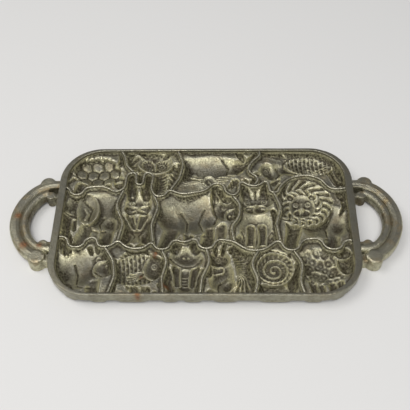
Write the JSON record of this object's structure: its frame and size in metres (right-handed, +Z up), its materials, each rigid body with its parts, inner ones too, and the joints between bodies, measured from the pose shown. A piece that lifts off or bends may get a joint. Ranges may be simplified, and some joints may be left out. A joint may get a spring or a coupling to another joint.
{
  "type": "cast iron cookie mold",
  "caption": "Shallow rounded cast iron pan of animal-shaped baking cavities with a looped handle at each end.",
  "frame": {"origin": "middle of the pan, on the plane that its feet stand on", "axes": "+X along the pan from one handle to the other, +Y to the long side that is at the rear in use, +Z up"},
  "size_m": [0.4212, 0.1938, 0.019],
  "materials": {
    "rim_iron": "satin, hand-worn grey",
    "wall_iron": "satin, bright along the worn tops",
    "cavity_iron": "seasoned olive brown, satin",
    "handle_iron": "seasoned olive grey, satin"
  },
  "bodies": {
    "root": {"floor_cat": "cavity_iron", "floor_duck": "cavity_iron", "floor_elephant": "cavity_iron", "floor_fish": "cavity_iron", "floor_frog": "cavity_iron", "floor_hippo": "cavity_iron", "floor_lion": "cavity_iron", "floor_owl": "cavity_iron", "floor_pig": "cavity_iron", "floor_rabbit": "cavity_iron", "floor_sheep": "cavity_iron", "floor_snail": "cavity_iron", "floor_squirrel": "cavity_iron", "floor_tortoise": "cavity_iron", "floor_whale": "cavity_iron", "left_handle_feet": "handle_iron", "left_handle_inner_strand": "handle_iron", "left_handle_knobs": "handle_iron", "left_handle_outer_strand": "handle_iron", "right_handle_feet": "handle_iron", "right_handle_inner_strand": "handle_iron", "right_handle_knobs": "handle_iron", "right_handle_outer_strand": "handle_iron", "rim": "rim_iron", "wall_cat_lion": "wall_iron", "wall_elephant_rabbit": "wall_iron", "wall_fish_frog": "wall_iron", "wall_frog_squirrel": "wall_iron", "wall_front_left": "wall_iron", "wall_front_middle": "wall_iron", "wall_front_right": "wall_iron", "wall_hippo_fish": "wall_iron", "wall_owl_whale": "wall_iron", "wall_pig_cat": "wall_iron", "wall_rabbit_pig": "wall_iron", "wall_rear_left": "wall_iron", "wall_rear_middle": "wall_iron", "wall_rear_right": "wall_iron", "wall_snail_sheep": "wall_iron", "wall_squirrel_snail": "wall_iron", "wall_tortoise_owl": "wall_iron", "wall_whale_duck": "wall_iron"}
  },
  "joints": []
}
